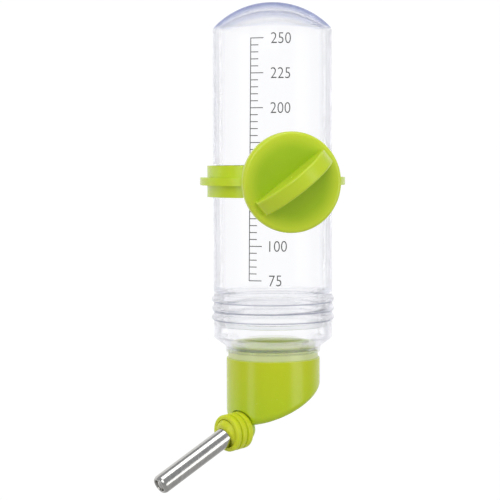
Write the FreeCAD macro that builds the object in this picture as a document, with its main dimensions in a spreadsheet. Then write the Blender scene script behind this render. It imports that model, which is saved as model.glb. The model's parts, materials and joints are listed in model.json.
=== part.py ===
"""Cage water bottle: clear bottle, screw cap with elbow, tilting ball tube and a clamp ring.

Frame: millimetres, +Z up.  The origin lies on the clamp's face, on the axis of the clamp knob, where
the wires of a cage are gripped.  The knob points along -Y and the bottle's axis is the vertical line
at y = axis_offset.  Heights are measured from the middle of the clamp ring.
"""
import FreeCAD
import Part
import math
import os
import re

import Sketcher

doc = FreeCAD.newDocument("water_bottle")

# ---------------------------------------------------------------- driving dimensions, mm and degrees
DIMENSIONS = [
    # the bottle's axis stands this far behind the clamp face
    ("axis_offset", 31.2),
    # clear bottle, with its dome up and its threaded neck down
    ("bottle_radius", 25.0),
    ("bottle_wall", 1.5),
    ("dome_thickness", 3.4),
    ("dome_top", 74.4),
    ("dome_rim", 64.0),
    ("dome_rim_radius", 24.4),
    ("dome_corner", 1.2),
    ("bottle_foot", -46.8),
    ("neck_radius", 22.3),
    ("neck_bore", 20.8),
    ("neck_lip", -59.0),
    ("shoulder_drop", 2.7),
    # coarse thread of neck and cap
    ("thread_pitch", 4.0),
    ("thread_turns", 1.5),
    ("male_thread_start", -55.5),
    ("male_thread_crest", 23.1),
    ("male_thread_half_root", 1.0),
    ("male_thread_half_crest", 0.45),
    ("female_thread_crest", 22.65),
    ("female_thread_half_root", 0.7),
    ("female_thread_half_crest", 0.3),
    ("thread_sink", 0.2),
    # clear screw cap
    ("cap_rim", -47.2),
    ("cap_radius", 25.0),
    ("cap_bore", 23.5),
    ("grip_ring_radius", 25.8),
    ("grip_ring_top", -48.2),
    ("grip_ring_height", 2.4),
    ("grip_ring_pitch", 3.8),
    ("grip_ring_count", 3),
    ("grip_ring_edge", 0.7),
    ("cap_ledge", -60.6),
    ("cap_chamber", 22.2),
    ("cap_taper_top", -65.6),
    ("cap_taper_foot", -69.4),
    ("cap_inner_taper_top", -65.0),
    ("cap_inner_taper_foot", -69.6),
    ("cap_neck_radius", 19.9),
    ("cap_neck_bore", 17.65),
    ("cap_foot", -71.6),
    # flat gasket under the neck's lip
    ("gasket_inside", 20.9),
    ("gasket_outside", 22.5),
    ("gasket_gap", 0.05),
    # elbow below the cap
    ("elbow_radius", 19.65),
    ("elbow_collar_radius", 18.95),
    ("elbow_collar_foot", -74.1),
    ("elbow_spigot", 17.6),
    ("elbow_spigot_top", -67.9),
    ("elbow_bore", 15.4),
    ("elbow_low", -106.0),
    ("elbow_slant_middle", -93.4),
    ("elbow_slant_angle", 26.0),
    ("elbow_floor", 2.5),
    ("elbow_bottom_round", 3.0),
    ("elbow_step_round", 0.4),
    # o-ring in the spigot's groove
    ("o_ring_section", 0.6),
    ("o_ring_radius", 17.02),
    ("o_ring_height", -70.0),
    ("o_ring_groove", 0.05),
    # socket and boss that carry the soft grommet
    ("spout_azimuth", 60.5),
    ("spout_drop", 5.0),
    ("socket_out", 17.8),
    ("socket_height", -103.0),
    ("socket_radius", 5.6),
    ("boss_radius", 6.1),
    ("boss_end", 1.7),
    ("boss_bore", 4.2),
    ("seat_radius", 8.3),
    ("seat_out", -0.3),
    ("port_out", 15.6),
    ("port_radius", 2.4),
    ("port_height", 8.0),
    # soft grommet with three rings, measured from the socket's centre along its own axis
    ("grommet_start", -0.2),
    ("grommet_face", 9.05),
    ("ring_radius", 7.7),
    ("ring_width", 2.2),
    ("ring_pitch", 3.07),
    ("ring_edge", 0.7),
    ("groove_radius", 6.8),
    ("lip_depth", 3.0),
    ("lip_back", 0.8),
    ("lip_waist", 4.45),
    ("lip_mouth", 5.8),
    ("lip_inside", 4.95),
    ("cavity_end", 5.05),
    # steel drinking tube, tilted in the grommet's lip
    ("tube_azimuth", 68.5),
    ("tube_drop", 28.0),
    ("tube_radius", 4.0),
    ("tube_bore", 3.6),
    ("tube_reach", 39.4),
    ("tube_tail", 3.9),
    ("tube_tail_wall", 0.6),
    ("tube_flare", 4.35),
    ("tube_flare_width", 0.75),
    ("tube_tail_hole", 2.8),
    ("tip_mouth", 2.6),
    ("tip_face_radius", 3.4),
    ("tip_curl_radius", 3.75),
    ("tip_fold", 1.5),
    ("tip_shoulder", 1.6),
    ("tip_inner_shoulder", 2.2),
    ("ball_radius", 3.175),
    ("ball_gap", 0.02),
    # clamp ring round the bottle
    ("ring_bore", 25.08),
    ("band_radius", 27.4),
    ("band_half", 6.5),
    ("rib_radius", 30.4),
    ("rib_half", 1.6),
    ("pad_half_width", 8.0),
    ("pad_half_height", 5.5),
    ("pad_corner", 1.5),
    ("pad_sink", 1.0),
    # clamp screw, fixed in the ring's pad
    ("screw_radius", 2.0),
    ("screw_head_flats", 7.0),
    ("screw_head_top", 25.3),
    ("screw_head_depth", 2.2),
    ("screw_end", 41.3),
    ("screw_chamfer", 0.4),
    # clamp knob and its threaded insert
    ("knob_gap", 0.05),
    ("knob_radius", 20.35),
    ("knob_thickness", 4.0),
    ("knob_front_round", 1.6),
    ("knob_back_round", 0.8),
    ("knob_screw_hole", 2.1),
    ("knob_hole_depth", 11.4),
    ("wing_length", 34.5),
    ("wing_width", 6.5),
    ("wing_height", 15.0),
    ("wing_end_height", 4.0),
    ("wing_root", 1.0),
    ("wing_angle", 38.0),
    ("wing_edge", 0.9),
    ("insert_radius", 3.9),
    ("insert_hole", 3.95),
    ("insert_bore", 2.06),
    ("insert_length", 3.0),
    ("insert_recess", 0.15),
    ("insert_groove", 0.35),
    ("insert_play", 0.05),
    # how far a cutting shape reaches past what it cuts
    ("overshoot", 4.0),
]

sheet = doc.addObject("Spreadsheet::Sheet", "sheet")
for row, (alias, value) in enumerate(DIMENSIONS, start=1):
    sheet.set(f"A{row}", alias)
    sheet.set(f"B{row}", str(value))
    sheet.setAlias(f"B{row}", alias)
doc.recompute()

ALIASES = {alias for alias, _ in DIMENSIONS}


def bound(text):
    """Turn "cap_rim - 2" into the expression "sheet.cap_rim - 2"."""
    return re.sub("[a-z_]+", lambda found: "sheet." * (found[0] in ALIASES) + found[0], text)


def value_of(text):
    return float(sheet.evalExpression(bound(text)))


# ---------------------------------------------------------------- helpers
def place(thing, x="0", y="0", z="0", yaw="0", pitch="0", roll="0"):
    """Bind a placement to the sheet: yaw about Z, then pitch about Y, then roll about X."""
    parts = [bound(text) for text in (x, y, z, yaw, pitch, roll)]
    where = "create(<<vector>>; {}; {}; {})".format(*parts[:3])
    turn = "create(<<rotation>>; {}; {}; {})".format(*parts[3:])
    thing.setExpression("Placement", f"create(<<placement>>; {where}; {turn})")


def bind(feature, **sizes):
    """Bind properties of a feature to sheet expressions."""
    for name, text in sizes.items():
        feature.setExpression(name, bound(text))


def new_body(label):
    body = doc.addObject("PartDesign::Body", label)
    body.Label = label
    return body


def origin_item(body, role):
    return next(item for item in body.Origin.OriginFeatures if item.Role == role)


def arc_between(start, finish):
    """Arc centred on the vertical axis, and the numbers of its first and last point on the way round."""
    rise = 2 * (finish.y - start.y)
    centre = FreeCAD.Vector(0, (finish.dot(finish) - start.dot(start)) / rise, 0)
    angles = [math.atan2(point.y - centre.y, point.x) for point in (start, finish)]
    circle = Part.Circle(centre, FreeCAD.Vector(0, 0, 1), (start - centre).Length)
    anticlockwise = angles[1] > angles[0]
    arc = Part.ArcOfCircle(circle, min(angles), max(angles))
    return arc, (1, 2) if anticlockwise else (2, 1)


def outline(body, name, points, plane="XZ_Plane", arcs=()):
    """Closed sketch through (x, y) expressions; the edges that start at arcs are centred on the axis."""
    sketch = body.newObject("Sketcher::SketchObject", name)
    sketch.AttachmentSupport = [(origin_item(body, plane), "")]
    sketch.MapMode = "FlatFace"
    corners = [FreeCAD.Vector(value_of(x), value_of(y), 0) for x, y in points]
    ends = []
    for index, start in enumerate(corners):
        finish = corners[(index + 1) % len(corners)]
        edge, order = Part.LineSegment(start, finish), (1, 2)
        if index in arcs:
            edge, order = arc_between(start, finish)
        sketch.addGeometry(edge, False)
        ends.append(order)
    for index in range(len(corners)):
        following = (index + 1) % len(corners)
        join = Sketcher.Constraint("Coincident", index, ends[index][1], following, ends[following][0])
        sketch.addConstraint(join)
        if index in arcs:
            sketch.addConstraint(Sketcher.Constraint("PointOnObject", index, 3, -2))
    for index, expressions in enumerate(points):
        for kind, text in zip(("DistanceX", "DistanceY"), expressions):
            rule = Sketcher.Constraint(kind, index, ends[index][0], value_of(text))
            number = sketch.addConstraint(rule)
            sketch.setExpression(f"Constraints[{number}]", bound(text))
    return sketch


def revolve(body, name, points, axis="V_Axis", cut=False, **options):
    """Turn an outline about one of its sketch axes, as a solid or as a groove."""
    sketch = outline(body, name + "_outline", points, **options)
    kind = "PartDesign::Groove" if cut else "PartDesign::Revolution"
    feature = body.newObject(kind, name)
    feature.Profile = sketch
    feature.ReferenceAxis = (sketch, [axis])
    feature.Angle = 360
    return feature


def primitive(body, kind, name, x="0", y="0", z="0", pitch="0", roll="0", **sizes):
    """Additive or subtractive primitive of a body, placed in its own frame; a prism has six sides."""
    feature = body.newObject("PartDesign::" + kind, name)
    bind(feature, **sizes)
    place(feature, x, y, z, pitch=pitch, roll=roll)
    return feature


def thread(body, name, points):
    """Right-handed thread that climbs from its profile."""
    sketch = outline(body, name + "_outline", points)
    feature = body.newObject("PartDesign::AdditiveHelix", name)
    feature.Profile = sketch
    feature.ReferenceAxis = (sketch, ["V_Axis"])
    feature.Mode = "pitch-turns-angle"
    bind(feature, Pitch="thread_pitch", Turns="thread_turns")
    return feature


def round_edges(body, name, radius, wanted, kind="Fillet"):
    """Round or chamfer the edges of the body's last feature that wanted(edge) picks."""
    doc.recompute()
    base = body.Tip
    names = [f"Edge{number}" for number, edge in enumerate(base.Shape.Edges, start=1) if wanted(edge)]
    if not names:
        raise RuntimeError(f"{name}: no edge found")
    feature = body.newObject("PartDesign::" + kind, name)
    feature.Base = (base, names)
    bind(feature, **{"Radius" if kind == "Fillet" else "Size": radius})
    return feature


def circle_at(radius, height):
    """Pick full circles about the body's Z axis by radius and height."""
    def wanted(edge):
        box = edge.BoundBox
        flat = box.ZLength < 0.01 and abs(box.ZMin - value_of(height)) < 0.01
        round_size = abs(box.XLength / 2 - value_of(radius)) < 0.01
        return flat and round_size and abs(box.YLength / 2 - value_of(radius)) < 0.01
    return wanted


# ---------------------------------------------------------------- bottle and cap, about the bottle axis
def make_bottle_body():
    body = new_body("bottle_body")
    place(body, y="axis_offset")
    revolve(body, "shell", [
        ("0", "dome_top"),
        ("dome_rim_radius", "dome_rim"),
        ("bottle_radius", "dome_rim - dome_corner"),
        ("bottle_radius", "bottle_foot"),
        ("neck_radius", "bottle_foot"),
        ("neck_radius", "neck_lip"),
        ("neck_bore", "neck_lip"),
        ("neck_bore", "bottle_foot"),
        ("bottle_radius - bottle_wall", "bottle_foot + shoulder_drop"),
        ("bottle_radius - bottle_wall", "dome_rim - dome_corner"),
        ("0", "dome_top - dome_thickness"),
    ], arcs=(0, 9))
    start, inner = "male_thread_start", "neck_radius - thread_sink"
    thread(body, "male_thread", [
        (inner, start + " - male_thread_half_root"),
        ("male_thread_crest", start + " - male_thread_half_crest"),
        ("male_thread_crest", start + " + male_thread_half_crest"),
        (inner, start + " + male_thread_half_root"),
    ])
    return body


def make_neck_gasket():
    body = new_body("neck_gasket")
    place(body, y="axis_offset")
    top, foot = "neck_lip - gasket_gap", "cap_ledge + gasket_gap"
    revolve(body, "ring", [
        ("gasket_inside", top),
        ("gasket_outside", top),
        ("gasket_outside", foot),
        ("gasket_inside", foot),
    ])
    return body


def make_screw_cap():
    body = new_body("screw_cap")
    place(body, y="axis_offset")
    revolve(body, "shell", [
        ("cap_bore", "cap_rim"),
        ("cap_radius", "cap_rim"),
        ("cap_radius", "cap_taper_top"),
        ("cap_neck_radius", "cap_taper_foot"),
        ("cap_neck_radius", "cap_foot"),
        ("cap_neck_bore", "cap_foot"),
        ("cap_neck_bore", "cap_inner_taper_foot"),
        ("cap_chamber", "cap_inner_taper_top"),
        ("cap_chamber", "cap_ledge"),
        ("cap_bore", "cap_ledge"),
    ])
    start, outer = "male_thread_start - thread_pitch / 2", "cap_bore + thread_sink"
    thread(body, "female_thread", [
        (outer, start + " - female_thread_half_root"),
        (outer, start + " + female_thread_half_root"),
        ("female_thread_crest", start + " + female_thread_half_crest"),
        ("female_thread_crest", start + " - female_thread_half_crest"),
    ])
    grip = revolve(body, "grip_ring", [
        ("cap_radius - thread_sink", "grip_ring_top"),
        ("cap_radius", "grip_ring_top"),
        ("grip_ring_radius", "grip_ring_top - grip_ring_edge"),
        ("grip_ring_radius", "grip_ring_top - grip_ring_height + grip_ring_edge"),
        ("cap_radius", "grip_ring_top - grip_ring_height"),
        ("cap_radius - thread_sink", "grip_ring_top - grip_ring_height"),
    ])
    doc.recompute()
    pattern = body.newObject("PartDesign::LinearPattern", "grip_rings")
    pattern.Originals = [grip]
    pattern.Direction = (origin_item(body, "Z_Axis"), [""])
    pattern.Reversed = True
    bind(pattern, Length="grip_ring_pitch * ( grip_ring_count - 1 )", Occurrences="grip_ring_count")
    body.Tip = pattern
    return body


# ---------------------------------------------------------------- elbow; its spout points along its +X
SPOUT_YAW = "270 - spout_azimuth"
FARAWAY = "( elbow_radius + overshoot )"


def slant_height(reach):
    """Height of the elbow's slanted bottom at a reach along the spout."""
    return f"elbow_slant_middle - ( {reach} ) * tan( elbow_slant_angle )"


def slanted_face(feature):
    """Name of the elbow's slanted bottom face."""
    for number, face in enumerate(feature.Shape.Faces, start=1):
        normal = face.normalAt(0, 0)
        if isinstance(face.Surface, Part.Plane) and abs(normal.x) > 0.1 and normal.z < -0.1:
            return f"Face{number}"
    raise RuntimeError("the elbow has no slanted face")


def make_spout_elbow():
    body = new_body("spout_elbow")
    place(body, y="axis_offset", yaw=SPOUT_YAW)
    groove_half = "( o_ring_section + o_ring_groove )"
    groove_floor = f"o_ring_radius - {groove_half}"
    revolve(body, "cylinder", [
        ("0", "elbow_spigot_top"),
        ("elbow_spigot", "elbow_spigot_top"),
        ("elbow_spigot", f"o_ring_height + {groove_half}"),
        (groove_floor, f"o_ring_height + {groove_half}"),
        (groove_floor, f"o_ring_height - {groove_half}"),
        ("elbow_spigot", f"o_ring_height - {groove_half}"),
        ("elbow_spigot", "cap_foot"),
        ("elbow_collar_radius", "cap_foot"),
        ("elbow_collar_radius", "elbow_collar_foot"),
        ("elbow_radius", "elbow_collar_foot"),
        ("elbow_radius", "elbow_low"),
        ("0", "elbow_low"),
    ])
    doc.recompute()
    profile = outline(body, "slant_outline", [
        (f"-1 * {FARAWAY}", slant_height(f"-1 * {FARAWAY}")),
        (FARAWAY, slant_height(FARAWAY)),
        (FARAWAY, "elbow_low - overshoot"),
        (f"-1 * {FARAWAY}", "elbow_low - overshoot"),
    ])
    slant = body.newObject("PartDesign::Pocket", "slant")
    slant.Profile = profile
    slant.Type = "ThroughAll"
    slant.Midplane = True
    doc.recompute()
    mouth = body.newObject("Sketcher::SketchObject", "bore_outline")
    mouth.AttachmentSupport = [(origin_item(body, "XY_Plane"), "")]
    mouth.MapMode = "FlatFace"
    mouth.setExpression("AttachmentOffset.Base.z", bound("elbow_spigot_top"))
    upward = FreeCAD.Vector(0, 0, 1)
    mouth.addGeometry(Part.Circle(FreeCAD.Vector(), upward, value_of("elbow_bore")), False)
    mouth.addConstraint(Sketcher.Constraint("Coincident", 0, 3, -1, 1))
    rule = mouth.addConstraint(Sketcher.Constraint("Radius", 0, value_of("elbow_bore")))
    mouth.setExpression(f"Constraints[{rule}]", bound("elbow_bore"))
    doc.recompute()
    bore = body.newObject("PartDesign::Pocket", "bore")
    bore.Profile = mouth
    bore.Type = "UpToFace"
    bore.UpToFace = (slant, [slanted_face(slant)])
    bind(bore, Offset="-1 * elbow_floor")
    doc.recompute()
    round_edges(body, "bottom_round", "elbow_bottom_round", is_outer_slanted_edge)
    round_edges(body, "step_round", "elbow_step_round", circle_at("elbow_radius", "elbow_collar_foot"))
    spot = dict(x="socket_out", z="socket_height")
    along = dict(pitch="90 + spout_drop", Angle="360")
    primitive(body, "SubtractiveCylinder", "seat", x="socket_out + seat_out", z="socket_height",
              Radius="seat_radius", Height="elbow_radius - socket_out + overshoot", **along)
    primitive(body, "AdditiveSphere", "socket", Radius="socket_radius", **spot)
    primitive(body, "AdditiveCylinder", "boss", Radius="boss_radius", Height="boss_end", **spot, **along)
    primitive(body, "SubtractiveCylinder", "boss_face", x="socket_out + boss_end * cos( spout_drop )",
              z="socket_height - boss_end * sin( spout_drop )", Radius="boss_radius",
              Height="socket_radius", **along)
    primitive(body, "SubtractiveSphere", "socket_hollow", Radius="boss_bore", **spot)
    primitive(body, "SubtractiveCylinder", "boss_hole", Radius="boss_bore",
              Height="socket_radius + overshoot", **spot, **along)
    primitive(body, "SubtractiveCylinder", "port", x="port_out", z="socket_height",
              Radius="port_radius", Height="port_height", Angle="360")
    return body


def is_outer_slanted_edge(edge):
    """The ellipse where the elbow's wall meets its slanted bottom."""
    box = edge.BoundBox
    return box.ZLength > 5 and box.YLength > 1.9 * value_of("elbow_radius")


def make_elbow_o_ring():
    ring = doc.addObject("Part::Torus", "elbow_o_ring")
    ring.Label = "elbow_o_ring"
    bind(ring, Radius1="o_ring_radius", Radius2="o_ring_section")
    place(ring, y="axis_offset", z="o_ring_height")
    return ring


# ---------------------------------------------------------------- grommet and tube, along their own +X
def spout_point(reach, side):
    """Part-frame coordinate of a point on the spout's axis, by its reach from the socket's centre."""
    flat = f"( socket_out + {reach} * cos( spout_drop ) )"
    if side == "x":
        return f"-1 * {flat} * sin( spout_azimuth )"
    if side == "y":
        return f"axis_offset - {flat} * cos( spout_azimuth )"
    return f"socket_height - {reach} * sin( spout_drop )"


def place_on_spout(body, reach, yaw, pitch):
    place(body, *(spout_point(reach, side) for side in "xyz"), yaw=yaw, pitch=pitch)


def make_tube_grommet():
    body = new_body("tube_grommet")
    place_on_spout(body, "0", SPOUT_YAW, "spout_drop")
    waist = "( grommet_face - lip_depth )"
    points = [
        ("grommet_start", "boss_radius"),
        ("grommet_start", "groove_radius"),
    ]
    for ring in (2, 1, 0):
        front = f"grommet_face - {ring} * ring_pitch"
        back = f"{front} - ring_width"
        if ring < 2:
            points.append((back, "groove_radius"))
        points += [
            (back, "ring_radius - ring_edge"),
            (f"{back} + ring_edge", "ring_radius"),
            (f"{front} - ring_edge", "ring_radius"),
            (front, "ring_radius - ring_edge"),
        ]
        if ring:
            points.append((front, "groove_radius"))
    points += [
        ("grommet_face", "lip_mouth"),
        (waist, "lip_waist"),
        (f"{waist} - lip_back", "lip_inside"),
        ("cavity_end", "boss_radius"),
    ]
    revolve(body, "rings", points, axis="H_Axis")
    return body


def make_drinking_tube():
    body = new_body("drinking_tube")
    place_on_spout(body, "( grommet_face - lip_depth )", "270 - tube_azimuth", "tube_drop")
    revolve(body, "tube", [
        ("-1 * tube_tail", "tube_tail_hole"),
        ("-1 * tube_tail", "tube_flare"),
        ("tube_flare_width - tube_tail", "tube_flare"),
        ("tube_flare_width - tube_tail", "tube_radius"),
        ("tube_reach - tip_shoulder", "tube_radius"),
        ("tube_reach - tip_shoulder / 2", "tip_curl_radius"),
        ("tube_reach", "tip_face_radius"),
        ("tube_reach", "tip_mouth"),
        ("tube_reach - tip_fold", "tip_mouth"),
        ("tube_reach - tip_inner_shoulder", "tube_bore"),
        ("tube_tail_wall - tube_tail", "tube_bore"),
        ("tube_tail_wall - tube_tail", "tube_tail_hole"),
    ], axis="H_Axis")
    return body


def ball_reach():
    """Distance along the tube at which the ball rests on the tip's mouth."""
    seat = "sqrt( ball_radius * ball_radius - tip_mouth * tip_mouth )"
    return f"tube_reach - tip_fold - {seat} - ball_gap"


def make_tip_ball():
    """The ball lies on the tube's axis, which leaves the lip's waist."""
    ball = doc.addObject("Part::Sphere", "tip_ball")
    ball.Label = "tip_ball"
    bind(ball, Radius="ball_radius")
    waist = "( grommet_face - lip_depth )"
    reach = f"( {ball_reach()} )"
    flat = f"{reach} * cos( tube_drop )"
    place(
        ball,
        f"{spout_point(waist, 'x')} - {flat} * sin( tube_azimuth )",
        f"{spout_point(waist, 'y')} - {flat} * cos( tube_azimuth )",
        f"{spout_point(waist, 'z')} - {reach} * sin( tube_drop )",
    )
    return ball


# ---------------------------------------------------------------- clamp ring, screw, insert and knob
HEAD_CORNER = "screw_head_flats / 2 / cos( 30 )"


def make_clamp_ring():
    body = new_body("clamp_ring")
    place(body, y="axis_offset")
    revolve(body, "band", [
        ("ring_bore", "-1 * band_half"),
        ("band_radius", "-1 * band_half"),
        ("band_radius", "-1 * rib_half"),
        ("rib_radius", "-1 * rib_half"),
        ("rib_radius", "rib_half"),
        ("band_radius", "rib_half"),
        ("band_radius", "band_half"),
        ("ring_bore", "band_half"),
    ])
    doc.recompute()
    primitive(body, "AdditiveBox", "pad", "-1 * pad_half_width", "-1 * axis_offset", "-1 * pad_half_height",
              Length="2 * pad_half_width", Width="axis_offset - ring_bore - pad_sink",
              Height="2 * pad_half_height")
    round_edges(body, "pad_corners", "pad_corner", is_pad_corner)
    primitive(body, "SubtractiveCylinder", "screw_hole", y="overshoot - ring_bore", roll="90",
              Radius="screw_radius", Height="axis_offset - ring_bore + 2 * overshoot", Angle="360")
    primitive(body, "SubtractivePrism", "head_pocket", y="overshoot - screw_head_top", roll="90",
              Circumradius=HEAD_CORNER, Height="screw_head_depth + overshoot")
    return body


def is_pad_corner(edge):
    """Edges of the pad that run from the band to the clamp face."""
    box = edge.BoundBox
    straight = box.XLength < 0.01 and box.ZLength < 0.01
    return straight and box.YLength > 2 and abs(abs(box.XMin) - value_of("pad_half_width")) < 0.01


def make_clamp_screw():
    body = new_body("clamp_screw")
    place(body, y="axis_offset - screw_head_top", roll="90")
    primitive(body, "AdditivePrism", "head", Circumradius=HEAD_CORNER, Height="screw_head_depth")
    primitive(body, "AdditiveCylinder", "shank", Radius="screw_radius",
              Height="screw_end - screw_head_top", Angle="360")
    round_edges(body, "shank_end", "screw_chamfer",
                circle_at("screw_radius", "screw_end - screw_head_top"), kind="Chamfer")
    return body


def make_knob_insert():
    body = new_body("knob_insert")
    place(body, y="-1 * knob_gap - insert_recess", roll="90")
    middle = "insert_length / 2"
    revolve(body, "bush", [
        ("insert_bore", "0"),
        ("insert_radius", "0"),
        ("insert_radius", f"{middle} - insert_groove"),
        ("insert_radius - insert_groove", f"{middle} - insert_groove"),
        ("insert_radius - insert_groove", f"{middle} + insert_groove"),
        ("insert_radius", f"{middle} + insert_groove"),
        ("insert_radius", "insert_length"),
        ("insert_bore", "insert_length"),
    ])
    return body


def make_clamp_knob():
    body = new_body("clamp_knob")
    place(body, y="-1 * knob_gap", roll="90")
    revolve(body, "disc", [
        ("0", "0"),
        ("knob_radius", "0"),
        ("knob_radius", "knob_thickness"),
        ("0", "knob_thickness"),
    ])
    round_edges(body, "front_round", "knob_front_round", circle_at("knob_radius", "knob_thickness"))
    round_edges(body, "back_round", "knob_back_round", circle_at("knob_radius", "0"))
    half, ends = "wing_length / 2", "knob_thickness + wing_end_height"
    profile = outline(body, "wing_outline", [
        (f"-1 * {half}", "knob_thickness - wing_root"),
        (half, "knob_thickness - wing_root"),
        (half, ends),
        ("0", "knob_thickness + wing_height"),
        (f"-1 * {half}", ends),
    ], arcs=(2, 3))
    turned = FreeCAD.Rotation(FreeCAD.Vector(0, 1, 0), value_of("wing_angle"))
    profile.AttachmentOffset = FreeCAD.Placement(FreeCAD.Vector(), turned)
    profile.setExpression("AttachmentOffset.Rotation.Angle", bound("wing_angle"))
    doc.recompute()
    wing = body.newObject("PartDesign::Pad", "wing")
    wing.Profile = profile
    wing.Midplane = True
    bind(wing, Length="wing_width")
    round_edges(body, "crown_edges", "wing_edge", is_crown_edge)
    primitive(body, "SubtractiveCylinder", "insert_seat", z="-1 * overshoot", Radius="insert_hole",
              Height="overshoot + insert_recess + insert_length + insert_play", Angle="360")
    primitive(body, "SubtractiveCylinder", "screw_clearance", z="-1 * overshoot",
              Radius="knob_screw_hole", Height="overshoot + knob_hole_depth", Angle="360")
    return body


def is_crown_edge(edge):
    """The two long curved edges of the wing's crown."""
    curved = isinstance(edge.Curve, Part.Circle)
    above = edge.BoundBox.ZMin > value_of("knob_thickness + wing_end_height") - 0.1
    return curved and above


# ---------------------------------------------------------------- build, check, export
def check(part):
    if {"Invalid", "Error"} & set(part.State) or part.Shape.isNull() or not part.Shape.isValid():
        raise RuntimeError(f"{part.Label} failed: {part.State}")
    print(f"{part.Label:14s} solids {len(part.Shape.Solids)} volume {part.Shape.Volume:9.1f} mm3")


def main():
    makers = [
        make_bottle_body, make_neck_gasket, make_screw_cap, make_elbow_o_ring, make_spout_elbow,
        make_tube_grommet, make_drinking_tube, make_tip_ball,
        make_clamp_ring, make_clamp_screw, make_knob_insert, make_clamp_knob,
    ]
    parts = [maker() for maker in makers]
    doc.recompute()
    for item in doc.Objects:
        if {"Invalid", "Error"} & set(item.State):
            raise RuntimeError(f"{item.Label} failed: {item.State}")
    os.makedirs("parts", exist_ok=True)
    for part in parts:
        check(part)
        part.Shape.exportStep(f"parts/{part.Label}.step")


main()
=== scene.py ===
"""Looks of the cage water bottle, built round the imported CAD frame.  All lengths are metres."""

import json
import math

import bmesh
import bpy
from mathutils import Matrix, Vector


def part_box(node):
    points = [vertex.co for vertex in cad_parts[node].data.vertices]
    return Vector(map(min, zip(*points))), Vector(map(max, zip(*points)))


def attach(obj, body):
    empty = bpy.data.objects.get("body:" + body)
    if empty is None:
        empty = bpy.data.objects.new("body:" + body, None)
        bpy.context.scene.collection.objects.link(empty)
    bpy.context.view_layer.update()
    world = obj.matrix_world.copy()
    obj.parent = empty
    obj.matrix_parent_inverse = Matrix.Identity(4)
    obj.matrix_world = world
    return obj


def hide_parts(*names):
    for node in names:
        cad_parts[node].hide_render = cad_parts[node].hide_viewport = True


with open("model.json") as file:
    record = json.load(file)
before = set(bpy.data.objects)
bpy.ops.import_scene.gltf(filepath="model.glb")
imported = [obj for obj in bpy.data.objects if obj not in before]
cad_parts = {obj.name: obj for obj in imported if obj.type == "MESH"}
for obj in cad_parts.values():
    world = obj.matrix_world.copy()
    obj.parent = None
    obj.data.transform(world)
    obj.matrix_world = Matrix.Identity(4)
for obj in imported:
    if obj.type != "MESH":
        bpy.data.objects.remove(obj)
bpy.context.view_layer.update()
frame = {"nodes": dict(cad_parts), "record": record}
MM = 0.001
scene = bpy.context.scene

# ---------------------------------------------------------------- places read from the frame
bottle_low, bottle_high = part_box("bottle_body")
AXIS_X = (bottle_low.x + bottle_high.x) / 2
AXIS_Y = (bottle_low.y + bottle_high.y) / 2
BOTTLE_RADIUS = (bottle_high.x - bottle_low.x) / 2
elbow_low, elbow_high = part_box("spout_elbow")
ELBOW_FOOT, ELBOW_TOP = elbow_low.z, elbow_high.z
KNOB_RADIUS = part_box("clamp_knob")[1].x
WING_ROOT = -0.0042
COLLAR_FOOT = -0.0741
DOME_RIM = 0.064
GRIP_FOOT = -0.0585
STRAIGHT_SHARE = 0.55

VIEW_AZIMUTH = math.radians(-12.5)
CAMERA_DISTANCE = 0.700
CAMERA_HEIGHT = 0.0121
CAMERA_PITCH = math.radians(3.36)
CAMERA_ROLL = math.radians(-0.23)
CAMERA_ASIDE = 0.0096
LENS = 120.0


# ---------------------------------------------------------------- camera, floor and light
def make_camera():
    """Level studio view from the left of the knob's axis, looking slightly down."""
    toward = Vector((math.sin(VIEW_AZIMUTH), -math.cos(VIEW_AZIMUTH), 0))
    right = Vector((math.cos(VIEW_AZIMUTH), math.sin(VIEW_AZIMUTH), 0))
    data = bpy.data.cameras.new("camera")
    data.lens = LENS
    data.sensor_width = 36.0
    camera = bpy.data.objects.new("camera", data)
    scene.collection.objects.link(camera)
    spot = Vector((AXIS_X, AXIS_Y, CAMERA_HEIGHT)) - right * CAMERA_ASIDE + toward * CAMERA_DISTANCE
    heading = Matrix.Rotation(VIEW_AZIMUTH, 4, "Z")
    nod = Matrix.Rotation(math.pi / 2 - CAMERA_PITCH, 4, "X")
    roll = Matrix.Rotation(CAMERA_ROLL, 4, "Z")
    camera.matrix_world = Matrix.Translation(spot) @ heading @ nod @ roll
    scene.camera = camera


def node_material(name):
    material = bpy.data.materials.new(name)
    material.use_nodes = True
    nodes, links = material.node_tree.nodes, material.node_tree.links
    return material, nodes, links, nodes["Principled BSDF"]


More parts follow.
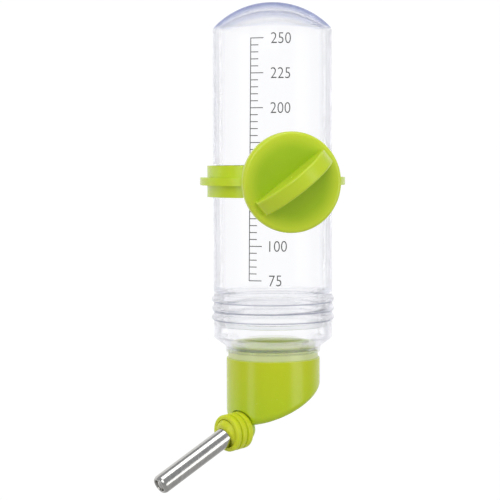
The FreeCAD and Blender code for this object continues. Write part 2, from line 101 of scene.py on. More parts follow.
def make_floor():
    """A seamless pale sweep, well below the hanging bottle, that glows: painted light, dim at the front and
    brighter towards the back.
    """
    depth, height, low, bend, steps = 1.6, 2.4, -0.42, 0.5, 16
    mesh = bpy.data.meshes.new("studio_sweep")
    build = bmesh.new()
    route = [(-1.8, low)]
    for step in range(steps + 1):
        angle = math.pi / 2 * step / steps
        route.append((depth - bend + bend * math.sin(angle), low + bend - bend * math.cos(angle)))
    route.append((depth, height))
    rows = [[build.verts.new((x, y, z)) for x in (-3.0, 3.0)] for y, z in route]
    for first, second in zip(rows, rows[1:]):
        build.faces.new((first[0], first[1], second[1], second[0]))
    build.to_mesh(mesh)
    build.free()
    sweep = bpy.data.objects.new("studio_sweep", mesh)
    scene.collection.objects.link(sweep)
    mesh.polygons.foreach_set("use_smooth", [True] * len(mesh.polygons))
    material, nodes, links, shader = node_material("studio_white")
    shader.inputs["Base Color"].default_value = (0.2, 0.2, 0.2, 1)
    shader.inputs["Roughness"].default_value = 0.9
    # painted light: the sweep glows white, its strength rising from front to back
    shader.inputs["Emission Color"].default_value = (1, 1, 1, 1)
    place = nodes.new("ShaderNodeTexCoord")
    split = nodes.new("ShaderNodeSeparateXYZ")
    lit = nodes.new("ShaderNodeMapRange")
    lit.inputs["From Min"].default_value = 0.1
    lit.inputs["From Max"].default_value = 0.9
    lit.inputs["To Min"].default_value = 0.28
    lit.inputs["To Max"].default_value = 0.86
    links.new(place.outputs["Object"], split.inputs["Vector"])
    links.new(split.outputs["Y"], lit.inputs["Value"])
    links.new(lit.outputs["Result"], shader.inputs["Emission Strength"])
    mesh.materials.append(material)


def area_light(name, azimuth, height, distance, size, power):
    """Soft box that faces the bottle; azimuth is measured as the camera's is."""
    data = bpy.data.lights.new(name, "AREA")
    data.shape = "RECTANGLE"
    data.size, data.size_y = size
    data.energy = power
    light = bpy.data.objects.new(name, data)
    scene.collection.objects.link(light)
    angle = VIEW_AZIMUTH + math.radians(azimuth)
    back = Vector((math.sin(angle), -math.cos(angle), 0)) * distance
    light.location = Vector((AXIS_X, AXIS_Y, 0)) + back + Vector((0, 0, height))
    aim = Vector((AXIS_X, AXIS_Y, 0)) - light.location
    light.rotation_mode = "QUATERNION"
    light.rotation_quaternion = aim.to_track_quat("-Z", "Y")


def make_light():
    """Two tall soft boxes either side of the camera, a soft top light and a grey room."""
    area_light("soft_left", -57, -0.06, 1.2, (0.36, 0.95), 1.8)
    area_light("soft_right", 60, -0.06, 1.2, (0.64, 0.95), 3.2)
    area_light("soft_top", 22, 1.05, 0.32, (0.75, 0.75), 3.6)
    area_light("soft_front", -8, 0.58, 1.2, (0.8, 0.7), 4.2)
    world = bpy.data.worlds.new("studio")
    world.use_nodes = True
    world.node_tree.nodes["Background"].inputs["Color"].default_value = (0.94, 0.96, 1.0, 1)
    world.node_tree.nodes["Background"].inputs["Strength"].default_value = 0.42
    scene.world = world
    scene.view_settings.view_transform = "Standard"


# ---------------------------------------------------------------- materials
def noise(nodes, links, scale, detail=3.0, source="Object", stretch=None):
    """Noise texture in the piece's own coordinates."""
    coords = nodes.new("ShaderNodeTexCoord")
    texture = nodes.new("ShaderNodeTexNoise")
    texture.inputs["Scale"].default_value = scale
    texture.inputs["Detail"].default_value = detail
    if stretch:
        mapping = nodes.new("ShaderNodeMapping")
        mapping.inputs["Scale"].default_value = stretch
        links.new(coords.outputs[source], mapping.inputs["Vector"])
        links.new(mapping.outputs["Vector"], texture.inputs["Vector"])
    else:
        links.new(coords.outputs[source], texture.inputs["Vector"])
    return texture


def two_tone(nodes, links, factor, low, high, start=0.3, end=0.7):
    """Colour ramp between two linear colours."""
    ramp = nodes.new("ShaderNodeValToRGB")
    ramp.color_ramp.elements[0].position = start
    ramp.color_ramp.elements[0].color = (*low, 1)
    ramp.color_ramp.elements[1].position = end
    ramp.color_ramp.elements[1].color = (*high, 1)
    links.new(factor, ramp.inputs["Fac"])
    return ramp.outputs["Color"]


def bump(nodes, links, height, shader, strength, distance):
    relief = nodes.new("ShaderNodeBump")
    relief.inputs["Strength"].default_value = strength
    relief.inputs["Distance"].default_value = distance
    links.new(height, relief.inputs["Height"])
    links.new(relief.outputs["Normal"], shader.inputs["Normal"])


def rough_range(nodes, links, factor, shader, low, high):
    spread = nodes.new("ShaderNodeMapRange")
    spread.inputs["To Min"].default_value = low
    spread.inputs["To Max"].default_value = high
    links.new(factor, spread.inputs["Value"])
    links.new(spread.outputs["Result"], shader.inputs["Roughness"])


def clear_plastic(name, ior, tint, density):
    """Clear moulded plastic: faint flow lines under a glossy skin and a violet-blue body colour."""
    material, nodes, links, shader = node_material(name)
    shader.inputs["Base Color"].default_value = (1, 1, 1, 1)
    shader.inputs["Transmission Weight"].default_value = 1.0
    shader.inputs["IOR"].default_value = ior
    shader.inputs["Coat Weight"].default_value = 0.25
    shader.inputs["Coat IOR"].default_value = 1.45
    shader.inputs["Coat Roughness"].default_value = 0.04
    flow = noise(nodes, links, 60, 4, stretch=(1, 1, 0.25))
    rough_range(nodes, links, flow.outputs["Fac"], shader, 0.0, 0.04)
    bump(nodes, links, flow.outputs["Fac"], shader, 0.004, 0.0002)
    absorb = nodes.new("ShaderNodeVolumeAbsorption")
    absorb.inputs["Color"].default_value = (*tint, 1)
    absorb.inputs["Density"].default_value = density
    links.new(absorb.outputs["Volume"], nodes["Material Output"].inputs["Volume"])
    straight = nodes.new("ShaderNodeBsdfTransparent")
    blend = nodes.new("ShaderNodeMixShader")
    blend.inputs["Fac"].default_value = STRAIGHT_SHARE
    links.new(shader.outputs["BSDF"], blend.inputs[1])
    links.new(straight.outputs["BSDF"], blend.inputs[2])
    links.new(blend.outputs["Shader"], nodes["Material Output"].inputs["Surface"])
    return material, nodes, links, shader, straight


def bottle_plastic():
    """Clear plastic whose thick crown is tinted violet-blue where it is seen edge-on: partly the plastic's
    own tint, partly painted shade for the dark band that internal reflection gives the crown.
    """
    material, nodes, links, shader, straight = clear_plastic("clear_bottle", 1.12, (0.56, 0.59, 0.80), 20)
    place = nodes.new("ShaderNodeTexCoord")
    split = nodes.new("ShaderNodeSeparateXYZ")
    crown = nodes.new("ShaderNodeMapRange")
    crown.inputs["From Min"].default_value = DOME_RIM - 0.001
    crown.inputs["From Max"].default_value = DOME_RIM
    edge_on = nodes.new("ShaderNodeLayerWeight")
    edge_on.inputs["Blend"].default_value = 0.5
    crown_edge_shade = nodes.new("ShaderNodeMath")
    crown_edge_shade.operation = "MULTIPLY"
    links.new(place.outputs["Object"], split.inputs["Vector"])
    links.new(split.outputs["Z"], crown.inputs["Value"])
    links.new(crown.outputs["Result"], crown_edge_shade.inputs[0])
    links.new(edge_on.outputs["Facing"], crown_edge_shade.inputs[1])
    # painted shade: violet-blue on the crown where it is seen edge-on, standing in for the band internal
    # reflection gives there
    colour = two_tone(nodes, links, crown_edge_shade.outputs["Value"], (1, 1, 1), (0.40, 0.46, 0.70), 0.60, 0.82)
    links.new(colour, shader.inputs["Base Color"])
    links.new(colour, straight.inputs["Color"])
    return material


def cap_plastic():
    """Clear plastic, with painted shade: greyer on the down-facing undersides of the grip rings."""
    material, nodes, links, shader, straight = clear_plastic("clear_cap", 1.16, (0.58, 0.60, 0.80), 14)
    way = nodes.new("ShaderNodeTexCoord")
    split = nodes.new("ShaderNodeSeparateXYZ")
    links.new(way.outputs["Normal"], split.inputs["Vector"])
    place = nodes.new("ShaderNodeSeparateXYZ")
    links.new(way.outputs["Object"], place.inputs["Vector"])
    ringed = nodes.new("ShaderNodeMapRange")
    ringed.inputs["From Min"].default_value = GRIP_FOOT - 0.0003
    ringed.inputs["From Max"].default_value = GRIP_FOOT
    ringed.inputs["To Max"].default_value = -1.0
    links.new(place.outputs["Z"], ringed.inputs["Value"])
    down = nodes.new("ShaderNodeMath")
    down.operation = "MULTIPLY"
    links.new(ringed.outputs["Result"], down.inputs[1])
    links.new(split.outputs["Z"], down.inputs[0])
    # painted shade: faces that look down, at and above the grip rings' foot, turn grey
    colour = two_tone(nodes, links, down.outputs["Value"], (1, 1, 1), (0.42, 0.43, 0.50), 0.30, 0.75)
    links.new(colour, shader.inputs["Base Color"])
    links.new(colour, straight.inputs["Color"])
    return material


def green_plastic(name, low, high):
    """Glossy injection-moulded green, with faint flow marks and a little light inside."""
    material, nodes, links, shader = node_material(name)
    flow = noise(nodes, links, 45, 4)
    colour = two_tone(nodes, links, flow.outputs["Fac"], low, high)
    links.new(colour, shader.inputs["Base Color"])
    fine = noise(nodes, links, 700, 2)
    rough_range(nodes, links, fine.outputs["Fac"], shader, 0.20, 0.30)
    bump(nodes, links, fine.outputs["Fac"], shader, 0.04, 0.00005)
    shader.inputs["Subsurface Weight"].default_value = 0.25
    shader.inputs["Subsurface Radius"].default_value = (0.6, 1.0, 0.1)
    shader.inputs["Subsurface Scale"].default_value = 0.002
    return material, nodes, links, shader


def elbow_plastic():
    """The green again, with painted light by height: darker at the foot and lighter and yellower up to the
    collar's foot, as if lit from above, and paler above it, painted light on the spigot seen through the
    clear cap.
    """
    material, nodes, links, shader = green_plastic("green_elbow", (0.50, 0.60, 0.010), (0.56, 0.66, 0.014))
    main = shader.inputs["Base Color"].links[0].from_socket
    place = nodes.new("ShaderNodeTexCoord")
    split = nodes.new("ShaderNodeSeparateXYZ")
    links.new(place.outputs["Object"], split.inputs["Vector"])
    height = nodes.new("ShaderNodeValToRGB")
    scaled = nodes.new("ShaderNodeMapRange")
    scaled.inputs["From Min"].default_value = ELBOW_FOOT
    scaled.inputs["From Max"].default_value = ELBOW_TOP
    links.new(split.outputs["Z"], scaled.inputs["Value"])
    links.new(scaled.outputs["Result"], height.inputs["Fac"])
    stops = height.color_ramp
    share = (COLLAR_FOOT - ELBOW_FOOT) / (ELBOW_TOP - ELBOW_FOOT)
    # painted light: darker green at the foot, yellower and lighter up to the collar's foot, pale above it
    stops.elements[0].position, stops.elements[0].color = 0.0, (0.44, 0.66, 0.008, 1)
    stops.elements[1].position, stops.elements[1].color = share - 0.01, (0.68, 0.76, 0.008, 1)
    stops.elements.new(share + 0.01).color = (0.84, 0.90, 0.55, 1)
    mix = nodes.new("ShaderNodeMix")
    mix.data_type = "RGBA"
    mix.inputs["Factor"].default_value = 0.75
    links.new(main, mix.inputs["A"])
    links.new(height.outputs["Color"], mix.inputs["B"])
    links.new(mix.outputs["Result"], shader.inputs["Base Color"])
    return material


def knob_plastic():
    """The green again, yellower and paler towards the knob's rim and on its wing: painted light where the
    rounded rim and the wing catch the light.
    """
    material, nodes, links, shader = green_plastic("green_knob", (0.40, 0.60, 0.006), (0.46, 0.66, 0.010))
    main = shader.inputs["Base Color"].links[0].from_socket
    place = nodes.new("ShaderNodeTexCoord")
    flat = nodes.new("ShaderNodeVectorMath")
    flat.operation = "MULTIPLY"
    flat.inputs[1].default_value = (1, 0, 1)
    reach = nodes.new("ShaderNodeVectorMath")
    reach.operation = "LENGTH"
    rim = nodes.new("ShaderNodeMapRange")
    rim.interpolation_type = "SMOOTHSTEP"
    rim.inputs["From Min"].default_value = KNOB_RADIUS * 0.62
    rim.inputs["From Max"].default_value = KNOB_RADIUS
    depth = nodes.new("ShaderNodeSeparateXYZ")
    wing = nodes.new("ShaderNodeMapRange")
    wing.inputs["From Min"].default_value = WING_ROOT
    wing.inputs["From Max"].default_value = WING_ROOT - 0.004
    wing.inputs["To Max"].default_value = 0.7
    paler = nodes.new("ShaderNodeMath")
    paler.operation = "MAXIMUM"
    mix = nodes.new("ShaderNodeMix")
    mix.data_type = "RGBA"
    # painted light: the rim and the wing are mixed towards a pale yellow-green
    mix.inputs["B"].default_value = (0.66, 0.78, 0.035, 1)
    links.new(place.outputs["Object"], flat.inputs[0])
    links.new(flat.outputs["Vector"], reach.inputs[0])
    links.new(reach.outputs["Value"], rim.inputs["Value"])
    links.new(place.outputs["Object"], depth.inputs["Vector"])
    links.new(depth.outputs["Y"], wing.inputs["Value"])
    links.new(rim.outputs["Result"], paler.inputs[0])
    links.new(wing.outputs["Result"], paler.inputs[1])
    links.new(paler.outputs["Value"], mix.inputs["Factor"])
    links.new(main, mix.inputs["A"])
    links.new(mix.outputs["Result"], shader.inputs["Base Color"])
    return material


def soft_green():
    """Soft yellow-green elastomer with a satin skin."""
    material, nodes, links, shader = node_material("soft_green_rubber")
    flow = noise(nodes, links, 120, 3)
    colour = two_tone(nodes, links, flow.outputs["Fac"], (0.66, 0.74, 0.012), (0.74, 0.82, 0.02))
    links.new(colour, shader.inputs["Base Color"])
    fine = noise(nodes, links, 1400, 2)
    rough_range(nodes, links, fine.outputs["Fac"], shader, 0.38, 0.5)
    bump(nodes, links, fine.outputs["Fac"], shader, 0.06, 0.00004)
    shader.inputs["Subsurface Weight"].default_value = 0.4
    shader.inputs["Subsurface Radius"].default_value = (0.8, 1.0, 0.15)
    shader.inputs["Subsurface Scale"].default_value = 0.002
    return material


def polished_steel(name, axis):
    """Drawn stainless steel, with hair lines along one direction."""
    material, nodes, links, shader = node_material(name)
    shader.inputs["Metallic"].default_value = 1.0
    lines = noise(nodes, links, 900, 3, stretch=axis)
    colour = two_tone(nodes, links, lines.outputs["Fac"], (0.52, 0.51, 0.49), (0.64, 0.63, 0.61))
    links.new(colour, shader.inputs["Base Color"])
    rough_range(nodes, links, lines.outputs["Fac"], shader, 0.10, 0.19)
    bump(nodes, links, lines.outputs["Fac"], shader, 0.03, 0.00002)
    return material


def turned_brass():
    material, nodes, links, shader = node_material("turned_brass")
    shader.inputs["Metallic"].default_value = 1.0
    lines = noise(nodes, links, 900, 2, stretch=(0.2, 1, 0.2))
    colour = two_tone(nodes, links, lines.outputs["Fac"], (0.52, 0.38, 0.14), (0.66, 0.5, 0.22))
    links.new(colour, shader.inputs["Base Color"])
    rough_range(nodes, links, lines.outputs["Fac"], shader, 0.22, 0.34)
    return material


def silicone():
    material, nodes, links, shader = node_material("silicone_seal")
    cloud = noise(nodes, links, 300, 2)
    colour = two_tone(nodes, links, cloud.outputs["Fac"], (0.90, 0.92, 0.93), (0.96, 0.97, 0.98))
    links.new(colour, shader.inputs["Base Color"])
    shader.inputs["Transmission Weight"].default_value = 0.9
    shader.inputs["IOR"].default_value = 1.12
    shader.inputs["Roughness"].default_value = 0.3
    return material


def scale_ink():
    """Grey screen print, slightly uneven."""
    material, nodes, links, shader = node_material("scale_ink")
    cloud = noise(nodes, links, 2500, 2)
    colour = two_tone(nodes, links, cloud.outputs["Fac"], (0.06, 0.06, 0.062), (0.13, 0.13, 0.132))
    links.new(colour, shader.inputs["Base Color"])
    rough_range(nodes, links, cloud.outputs["Fac"], shader, 0.45, 0.6)
    return material


def finish_node(node, material):
    """Give a CAD node its material."""
    piece = frame["nodes"][node]
    piece.data.materials.clear()
    piece.data.materials.append(material)


# ---------------------------------------------------------------- turned shapes
def rounded(corners, arc_step=math.radians(15)):
    """Closed or open outline through (along, radius, rounding) corners, in millimetres, with arcs."""
    outline = []
    count = len(corners)
    for index, (along, radius, rounding) in enumerate(corners):
        here = Vector((along, radius))
        before = Vector(corners[index - 1][:2]) - here
        after = Vector(corners[(index + 1) % count][:2]) - here
        if not rounding:
            outline.append(here)
            continue
        half = before.angle(after) / 2
        reach = min(rounding / math.tan(half), before.length * 0.49, after.length * 0.49)
        size = reach * math.tan(half)
        start, finish = here + before.normalized() * reach, here + after.normalized() * reach
        centre = here + (before.normalized() + after.normalized()).normalized() * (size / math.sin(half))
        sweep = (start - centre).angle_signed(finish - centre)
        steps = max(2, math.ceil(abs(sweep) / arc_step))
        for step in range(steps + 1):
            spoke = Matrix.Rotation(-sweep * step / steps, 2) @ (start - centre)
            outline.append(centre + spoke)
    return outline


def arc_points(first, last, steps):
    """Points between two places of an outline on the circle centred on the axis, ends left out."""
    rise = 2 * (last[0] - first[0])
    centre = (last[0] ** 2 + last[1] ** 2 - first[0] ** 2 - first[1] ** 2) / rise
    radius = math.hypot(first[0] - centre, first[1])
    start = math.atan2(first[1], first[0] - centre)
    finish = math.atan2(last[1], last[0] - centre)
    angles = [start + (finish - start) * step / steps for step in range(1, steps)]
    return [(centre + radius * math.cos(angle), radius * math.sin(angle), 0) for angle in angles]


def turned(name, outline, body, material, stands_for, place, segments=144, relief=None):
    """Solid of revolution of a closed outline; place maps its own axis (X) and centre to the frame."""
    build = bmesh.new()
    rows = []
    for along, radius in outline:
        if radius < 1e-6:
            rows.append([build.verts.new((along * MM, 0, 0))])
            continue
        row = []
        for step in range(segments):
            angle = 2 * math.pi * step / segments
            size = radius + (relief(along, radius, angle) if relief else 0)
            across = Vector((0, math.cos(angle), math.sin(angle))) * size
            row.append(build.verts.new((Vector((along, 0, 0)) + across) * MM))
        rows.append(row)
    for first, second in zip(rows, rows[1:] + rows[:1]):
        if len(first) == 1 and len(second) == 1:
            continue
        for step in range(segments):
            following = (step + 1) % segments
            corners = [first[step % len(first)], second[step % len(second)],
                       second[following % len(second)], first[following % len(first)]]
            corners = list(dict.fromkeys(corners))
            build.faces.new(corners)
    bmesh.ops.recalc_face_normals(build, faces=build.faces[:])
    mesh = bpy.data.meshes.new(name)
    build.to_mesh(mesh)
    build.free()
    mesh.transform(place)
    mesh.polygons.foreach_set("use_smooth", [True] * len(mesh.polygons))
    mesh.materials.append(material)
    piece = bpy.data.objects.new(name, mesh)
    scene.collection.objects.link(piece)
    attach(piece, body)
    if stands_for:
        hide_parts(stands_for)
    return piece


# an upright turned shape's own X is the bottle's axis, and its own Y is the frame's X
STAND_UP = Matrix(((0, 1, 0, 0), (0, 0, 1, 0), (1, 0, 0, 0), (0, 0, 0, 1)))
UPRIGHT = Matrix.Translation((AXIS_X, AXIS_Y, 0)) @ STAND_UP

# profile sizes of bottle, cap and thread, in millimetres, as in the CAD
DOME_TOP, DOME_THICKNESS, DOME_EDGE, DOME_CORNER = 74.4, 3.4, 24.4, 62.8
WALL_OUTSIDE, WALL_INSIDE, BOTTLE_FOOT, SHOULDER = 25.0, 23.5, -46.8, -44.1
NECK_OUTSIDE, NECK_INSIDE, NECK_LIP = 22.3, 20.8, -59.0
CAP_TOP, CAP_OUTSIDE, CAP_INSIDE, CAP_LEDGE, CAP_CHAMBER = -47.2, 25.0, 23.5, -60.6, 22.2
RING_TOP, RING_PITCH, RING_OUTSIDE, RING_HEIGHT, RING_EDGE = -48.2, 3.8, 25.8, 2.4, 0.7
TAPER_TOP, TAPER_FOOT, LINING_TOP, LINING_FOOT = -65.6, -69.4, -65.0, -69.6
SLEEVE_OUTSIDE, SLEEVE_INSIDE, SLEEVE_FOOT = 19.9, 17.65, -71.6
THREAD_PITCH, THREAD_START, THREAD_TURNS = 4.0, -55.5, 1.5
NECK_THREAD_CREST, NECK_THREAD_HALF = 0.8, 1.2
CAP_THREAD_CREST, CAP_THREAD_HALF = -0.85, 1.0
THREAD_FADE = 0.08
THREAD_SPACING = 0.35


def thread_height(height, angle, start):
    """Distance from a height to the thread's nearest turn, and the share of its full crest there."""
    nearest = None
    for turn in range(math.ceil(THREAD_TURNS)):
        rise = turn + angle / (2 * math.pi)
        if rise <= THREAD_TURNS:
            offset = abs(height - start - rise * THREAD_PITCH)
            ends = min(1, rise / THREAD_FADE, (THREAD_TURNS - rise) / THREAD_FADE)
            if nearest is None or offset < nearest[0]:
                nearest = (offset, ends)
    return nearest


def thread_relief(start, low, high, low_radius, high_radius, crest, half):
    """Soft-edged thread on the walls between two heights and two radii."""
    def relief(height, radius, angle):
        if not (low < height < high and low_radius < radius < high_radius):
            return 0
        found = thread_height(height, angle, start)
        if not found or found[0] > half:
            return 0
        return crest * found[1] * (0.5 + 0.5 * math.cos(math.pi * found[0] / half))
    return relief


def make_bottle(material):
    """The clear bottle, with a thick domed end, and a threaded neck inside the cap."""
    rim = DOME_RIM / MM
    crown = DOME_TOP - DOME_THICKNESS
    dome = arc_points((DOME_TOP, 0), (rim, DOME_EDGE), 24)
    lining = arc_points((DOME_CORNER, WALL_INSIDE), (crown, 0), 24)
    corners = [
        (DOME_TOP, 0, 0), *dome, (rim, DOME_EDGE, 0.6), (DOME_CORNER, WALL_OUTSIDE, 0.8),
        (BOTTLE_FOOT, WALL_OUTSIDE, 0.7), (BOTTLE_FOOT, NECK_OUTSIDE, 0.4),
        (NECK_LIP, NECK_OUTSIDE, 0.3), (NECK_LIP, NECK_INSIDE, 0.3), (BOTTLE_FOOT, NECK_INSIDE, 1.5),
        (SHOULDER, WALL_INSIDE, 2.0), (DOME_CORNER, WALL_INSIDE, 0.8), *lining, (crown, 0, 0),
    ]
    relief = thread_relief(THREAD_START, NECK_LIP + 0.5, BOTTLE_FOOT - 0.7, NECK_OUTSIDE - 0.3,
                           NECK_OUTSIDE + 0.3, NECK_THREAD_CREST, NECK_THREAD_HALF)
    outline = dense_between(rounded(corners), NECK_LIP + 0.4, BOTTLE_FOOT - 0.2, THREAD_SPACING)
    turned("bottle_shell", outline, "bottle", material, "bottle_body", UPRIGHT, relief=relief)


def dense_between(outline, low, high, spacing):
    """Add points to the stretches of a closed outline that lie between two heights."""
    points = []
    for first, second in zip(outline, outline[1:] + outline[:1]):
        points.append(first)
        inside = low <= min(first.x, second.x) and max(first.x, second.x) <= high
        parts = math.ceil((second - first).length / spacing) if inside else 1
        points += [first.lerp(second, part / parts) for part in range(1, parts)]
    return points


def make_cap(material):
    """The clear screw cap, with three grip rings outside and its thread inside."""
    rings = []
    for ring in range(3):
        top = RING_TOP - RING_PITCH * ring
        foot = top - RING_HEIGHT
        rings += [(top, CAP_OUTSIDE, 0.25), (top - RING_EDGE, RING_OUTSIDE, 0.6),
                  (foot + RING_EDGE, RING_OUTSIDE, 0.6), (foot, CAP_OUTSIDE, 0.25)]
    corners = [
        (CAP_TOP, CAP_INSIDE, 0.3), (CAP_TOP, CAP_OUTSIDE, 0.4), *rings, (TAPER_TOP, CAP_OUTSIDE, 1.2),
        (TAPER_FOOT, SLEEVE_OUTSIDE, 1.2), (SLEEVE_FOOT, SLEEVE_OUTSIDE, 0.3),
        (SLEEVE_FOOT, SLEEVE_INSIDE, 0.3), (LINING_FOOT, SLEEVE_INSIDE, 1.0),
        (LINING_TOP, CAP_CHAMBER, 1.2), (CAP_LEDGE, CAP_CHAMBER, 0.2), (CAP_LEDGE, CAP_INSIDE, 0.3),
    ]
    relief = thread_relief(THREAD_START - THREAD_PITCH / 2, CAP_LEDGE + 0.4, CAP_TOP - 0.4,
                           CAP_INSIDE - 0.2, CAP_INSIDE + 0.2, CAP_THREAD_CREST, CAP_THREAD_HALF)
    outline = dense_between(rounded(corners), CAP_LEDGE + 0.3, CAP_TOP - 0.1, THREAD_SPACING)
    turned("cap_shell", outline, "cap", material, "screw_cap", UPRIGHT, relief=relief)


# ---------------------------------------------------------------- spout: grommet and tube
REST_TILT = math.radians(24.2245)


def spout_frame(direction, centre):
    """Matrix that takes a turned shape's X to a direction through a centre."""
    turn = direction.normalized().to_track_quat("X", "Z").to_matrix().to_4x4()
    return Matrix.Translation(centre) @ turn


def joint(name):
    return next(item for item in frame["record"]["behaviour"]["joints"] if item["name"] == name)


PIVOT = Vector(joint("tube_tilt")["pos_m"])
TUBE_WAY = -Vector(joint("ball_roll")["axis"]).normalized()
SPOUT_WAY = Matrix.Rotation(-REST_TILT, 3, Vector(joint("tube_tilt")["axis"])) @ TUBE_WAY
# profile sizes of grommet, lip and tube, in millimetres; the grommet and tube are as in the CAD
PIVOT_REACH = 6.05
GROMMET_START, GROMMET_FACE, GROMMET_PITCH, GROMMET_WIDTH = -0.2, 9.05, 3.07, 2.2
GROMMET_RADIUS, GROOVE_RADIUS, GROMMET_BORE, MOUTH_RADIUS, HOLLOW_BACK = 7.7, 6.8, 6.1, 5.8, 5.05
LIP_OUTSIDE, LIP_INSIDE, LIP_FACE, LIP_BACK, LIP_HOLE = 6.4, 5.7, 3.45, 2.3, 4.02
LIP_EDGE = (3.05, 5.62, 0.5)
TUBE_RADIUS, TUBE_BORE, TUBE_REACH = 4.0, 3.6, 39.4
TAIL, TAIL_FLARE, TAIL_WIDTH, TAIL_WALL, TAIL_HOLE = -3.9, 4.35, 0.75, 0.6, 2.8
TIP_MOUTH, TIP_FACE, TIP_FOLD, TIP_SHOULDER = 2.6, 3.4, 1.5, 2.2


def make_grommet(material):
    """Soft grommet of three rounded rings, with a lip that grips the tube."""
    corners = [(GROMMET_START, GROMMET_BORE, 0), (GROMMET_START, GROOVE_RADIUS, 0)]
    for ring in (2, 1, 0):
        front = GROMMET_FACE - GROMMET_PITCH * ring
        back = front - GROMMET_WIDTH
        if ring < 2:
            corners.append((back, GROOVE_RADIUS, 0.15))
        corners += [(back, GROMMET_RADIUS, 0.75), (front, GROMMET_RADIUS, 0.75)]
        if ring:
            corners.append((front, GROOVE_RADIUS, 0.15))
    corners.append((GROMMET_FACE, MOUTH_RADIUS, 0.3))
    hollow = math.hypot(MOUTH_RADIUS, GROMMET_FACE - PIVOT_REACH)
    for angle in range(68, 92, 6):
        turn = math.radians(angle)
        corners.append((PIVOT_REACH + hollow * math.cos(turn), hollow * math.sin(turn), 0))
    corners += [(HOLLOW_BACK, hollow, 0.2), (HOLLOW_BACK - 0.45, GROMMET_BORE, 0.2)]
    place = spout_frame(SPOUT_WAY, PIVOT - SPOUT_WAY * PIVOT_REACH * MM)
    turned("grommet_rings", rounded(corners), "cap", material, "tube_grommet", place, 96)


def make_lip(material):
    """Soft round lip that hugs the tube and rolls with it in the grommet's hollow."""
    corners = [(LIP_FACE, LIP_HOLE, 0.15), LIP_EDGE]
    for size, angles in ((LIP_OUTSIDE, range(64, 89, 4)), (LIP_INSIDE, range(87, 65, -4))):
        corners += [(size * math.cos(math.radians(angle)), size * math.sin(math.radians(angle)), 0)
                    for angle in angles]
    corners.append((LIP_BACK, LIP_HOLE, 0))
    turned("grommet_lip", rounded(corners), "tube", material, None,
           spout_frame(TUBE_WAY, PIVOT), 96)


def make_tube(material):
    """Steel tube with its flared tail and a rolled-in tip that holds the ball."""
    flare = TAIL + TAIL_WIDTH
    corners = [
        (TAIL, TAIL_HOLE, 0), (TAIL, TAIL_FLARE, 0.25), (flare, TAIL_FLARE, 0.25), (flare, TUBE_RADIUS, 0.1),
        (TUBE_REACH - 1.1, TUBE_RADIUS, 1.6), (TUBE_REACH, TIP_FACE, 0.5), (TUBE_REACH, TIP_MOUTH, 0.3),
        (TUBE_REACH - TIP_FOLD, TIP_MOUTH, 0.2), (TUBE_REACH - TIP_SHOULDER, TUBE_BORE, 0),
        (TAIL + TAIL_WALL, TUBE_BORE, 0), (TAIL + TAIL_WALL, TAIL_HOLE, 0),
    ]
    turned("tube_shell", rounded(corners), "tube", material, "drinking_tube",
           spout_frame(TUBE_WAY, PIVOT), 96)


# ---------------------------------------------------------------- printed volume scale
PRINT_LIFT = 0.00004
INK_DEPTH = 0.00003
MARK_STEP = 0.01404
TOP_MARK, TOP_HEIGHT, VOLUME_STEP, MARKS = 250, 0.0581, 25, 8
LINE_AZIMUTH, LINE_LEAN = math.radians(-33.4), math.radians(-2.6)
MAJOR_ARC, MINOR_ARC, DIGIT_ARC = 0.0053, 0.0032, 0.0083
STROKE = 0.00036
DIGIT_HEIGHT = 0.0044
DIGIT_WIDTH = 0.89


def on_bottle(arc, height, lift):
    """Point on the bottle's wall, arc metres to the right of the scale's line."""
    share = (TOP_HEIGHT - height) / (MARK_STEP * (MARKS - 1))
    angle = LINE_AZIMUTH + LINE_LEAN * share + arc / BOTTLE_RADIUS
    radius = BOTTLE_RADIUS + lift
    return Vector((AXIS_X + radius * math.sin(angle), AXIS_Y - radius * math.cos(angle), height))


def ink_patch(build, arc_low, arc_high, low, high):
    """Thin closed bar of ink that follows the bottle's wall."""
    steps = max(1, math.ceil((arc_high - arc_low) / 0.0006))
    rows = max(1, math.ceil((high - low) / 0.02))
    grid = {}
    for side, lift in enumerate((PRINT_LIFT, PRINT_LIFT + INK_DEPTH)):
        for i in range(steps + 1):
            for j in range(rows + 1):
                arc = arc_low + (arc_high - arc_low) * i / steps
                height = low + (high - low) * j / rows
                grid[side, i, j] = build.verts.new(on_bottle(arc, height, lift))
    for i in range(steps):
        for j in range(rows):
            build.faces.new([grid[1, i, j], grid[1, i + 1, j], grid[1, i + 1, j + 1], grid[1, i, j + 1]])
            build.faces.new([grid[0, i, j], grid[0, i, j + 1], grid[0, i + 1, j + 1], grid[0, i + 1, j]])
    for i in range(steps):
        build.faces.new([grid[0, i, 0], grid[0, i + 1, 0], grid[1, i + 1, 0], grid[1, i, 0]])
        build.faces.new([grid[0, i + 1, rows], grid[0, i, rows], grid[1, i, rows], grid[1, i + 1, rows]])
    for j in range(rows):
        build.faces.new([grid[0, 0, j + 1], grid[0, 0, j], grid[1, 0, j], grid[1, 0, j + 1]])
        build.faces.new([grid[0, steps, j], grid[0, steps, j + 1], grid[1, steps, j + 1], grid[1, steps, j]])


def make_scale_lines(ink):
    build = bmesh.new()
    foot = TOP_HEIGHT - MARK_STEP * (MARKS - 1)
    ink_patch(build, -STROKE / 2, STROKE / 2, foot - STROKE / 2, TOP_HEIGHT + STROKE / 2)
    fine = VOLUME_STEP // 5
    for tick in range((MARKS - 1) * fine + 1):
        height = TOP_HEIGHT - tick * MARK_STEP / fine
        reach = MINOR_ARC if tick % fine else MAJOR_ARC
        ink_patch(build, STROKE / 2, reach, height - STROKE / 2, height + STROKE / 2)
    mesh = bpy.data.meshes.new("scale_lines")
    build.to_mesh(mesh)
    build.free()
    mesh.materials.append(ink)
    piece = bpy.data.objects.new("scale_lines", mesh)
    scene.collection.objects.link(piece)
    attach(piece, "bottle")


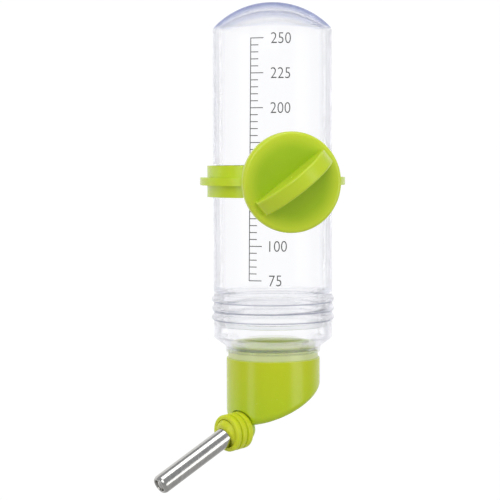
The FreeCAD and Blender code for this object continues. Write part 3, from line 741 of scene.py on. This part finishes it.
def make_scale_number(value, height, ink):
    """A printed number, bent round the bottle's wall."""
    curve = bpy.data.curves.new(f"number_{value}", "FONT")
    curve.body = str(value)
    curve.size = 1.0
    curve.resolution_u = 4
    curve.offset = -0.010
    text = bpy.data.objects.new(f"number_{value}_text", curve)
    scene.collection.objects.link(text)
    bpy.context.view_layer.update()
    mesh = bpy.data.meshes.new_from_object(text)
    bpy.data.objects.remove(text)
    xs = [v.co.x for v in mesh.vertices]
    ys = [v.co.y for v in mesh.vertices]
    scale = DIGIT_HEIGHT / (max(ys) - min(ys))
    build = bmesh.new()
    build.from_mesh(mesh)
    for vertex in build.verts:
        arc = DIGIT_ARC + (vertex.co.x - min(xs)) * scale * DIGIT_WIDTH
        rise = height + (vertex.co.y - (min(ys) + max(ys)) / 2) * scale
        vertex.co = on_bottle(arc, rise, PRINT_LIFT)
    body = bmesh.ops.extrude_face_region(build, geom=build.faces[:])
    for item in body["geom"]:
        if isinstance(item, bmesh.types.BMVert):
            outward = Vector((item.co.x - AXIS_X, item.co.y - AXIS_Y, 0)).normalized()
            item.co += outward * INK_DEPTH
    bmesh.ops.recalc_face_normals(build, faces=build.faces[:])
    build.to_mesh(mesh)
    build.free()
    mesh.name = f"scale_number_{value}"
    mesh.materials.clear()
    mesh.materials.append(ink)
    piece = bpy.data.objects.new(f"scale_number_{value}", mesh)
    scene.collection.objects.link(piece)
    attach(piece, "bottle")


def make_scale():
    ink = scale_ink()
    make_scale_lines(ink)
    for mark in range(MARKS):
        make_scale_number(TOP_MARK - VOLUME_STEP * mark, TOP_HEIGHT - MARK_STEP * mark, ink)


# ---------------------------------------------------------------- build
make_camera()
make_floor()
make_light()
steel = polished_steel("polished_steel", (1, 1, 0.05))
seal = silicone()
make_bottle(bottle_plastic())
make_cap(cap_plastic())
rubber = soft_green()
make_grommet(rubber)
make_lip(rubber)
make_tube(steel)
finish_node("spout_elbow", elbow_plastic())
finish_node("clamp_ring", green_plastic("green_ring", (0.60, 0.75, 0.010), (0.66, 0.81, 0.016))[0])
finish_node("clamp_knob", knob_plastic())
for node in ("tip_ball", "clamp_screw"):
    finish_node(node, steel)
finish_node("knob_insert", turned_brass())
for node in ("neck_gasket", "elbow_o_ring"):
    finish_node(node, seal)
make_scale()
